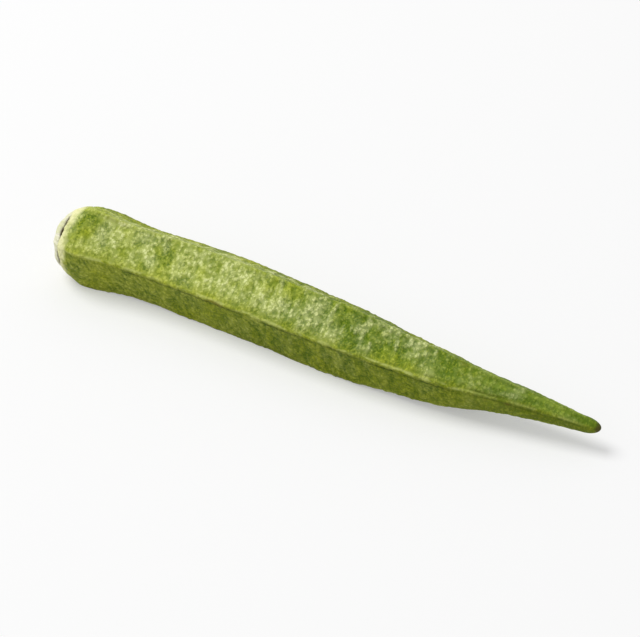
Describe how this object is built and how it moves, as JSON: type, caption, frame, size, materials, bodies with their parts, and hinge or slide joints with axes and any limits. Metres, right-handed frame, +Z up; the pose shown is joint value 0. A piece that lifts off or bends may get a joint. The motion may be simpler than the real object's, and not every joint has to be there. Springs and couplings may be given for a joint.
{
  "type": "okra pod",
  "caption": "Fresh okra pod, a slender ridged green vegetable with a trimmed stalk end and a tapering beak, lying on one of its faces.",
  "frame": {"origin": "on the surface the pod lies on, under the middle of its box", "axes": "+X along the pod from the cut stalk to the beak, +Z up, away from the face it lies on"},
  "size_m": [0.13, 0.018, 0.0172],
  "materials": {
    "pod_skin": "fresh downy green skin, satin, with a brown scar and a pale cut at the stalk end"
  },
  "bodies": {
    "root": {"okra_pod": "pod_skin"}
  },
  "joints": []
}
